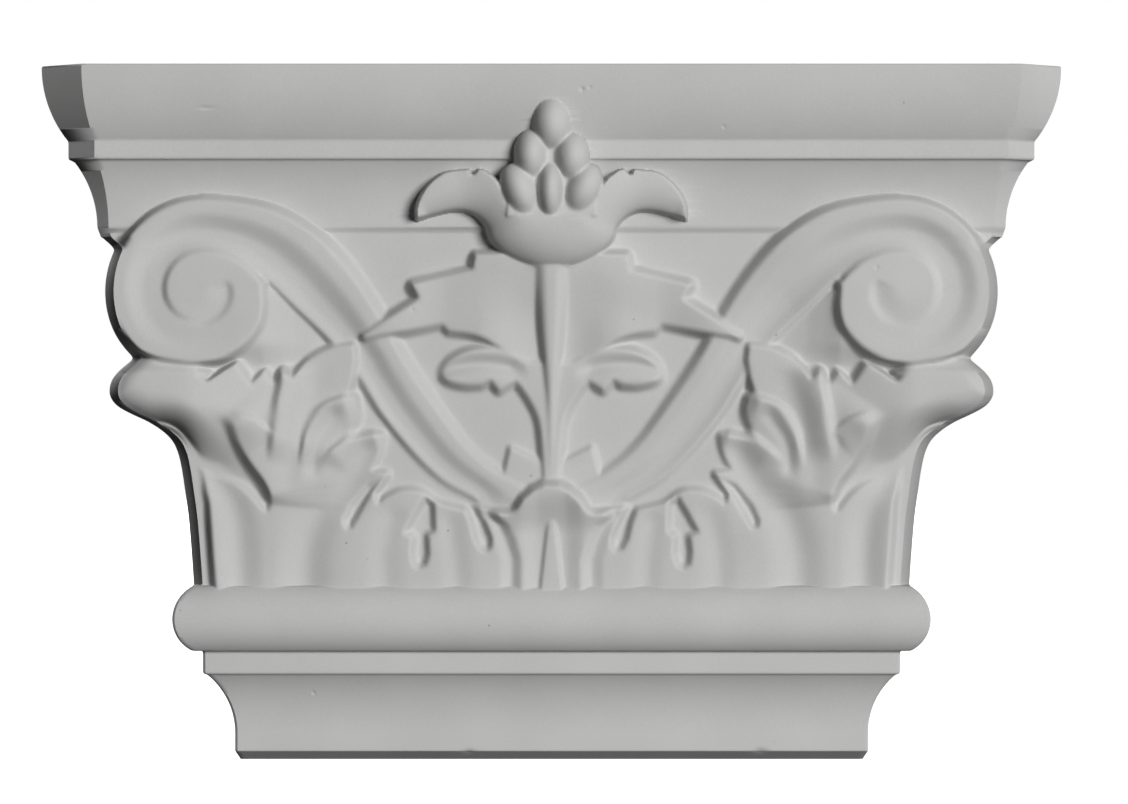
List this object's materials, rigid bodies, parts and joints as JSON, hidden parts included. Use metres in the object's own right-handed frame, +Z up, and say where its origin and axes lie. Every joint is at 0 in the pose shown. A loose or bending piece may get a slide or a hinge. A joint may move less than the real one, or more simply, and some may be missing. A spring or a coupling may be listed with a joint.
{
  "type": "pilaster capital",
  "caption": "Plaster pilaster capital in the Corinthian manner: corner volutes, acanthus leaves, central flower, moulded abacus and astragal, flat back against a wall.",
  "frame": {"origin": "middle of the flat underside, where the capital sits on the pilaster's shaft", "axes": "+X to the right across the front, +Y into the wall, +Z up; the carved front faces -Y"},
  "size_m": [0.38, 0.1118, 0.261],
  "materials": {
    "plaster": "matt light grey cast plaster, unpainted, with a fine grain and a few pinholes"
  },
  "bodies": {
    "root": {"capital": "plaster"}
  },
  "joints": []
}
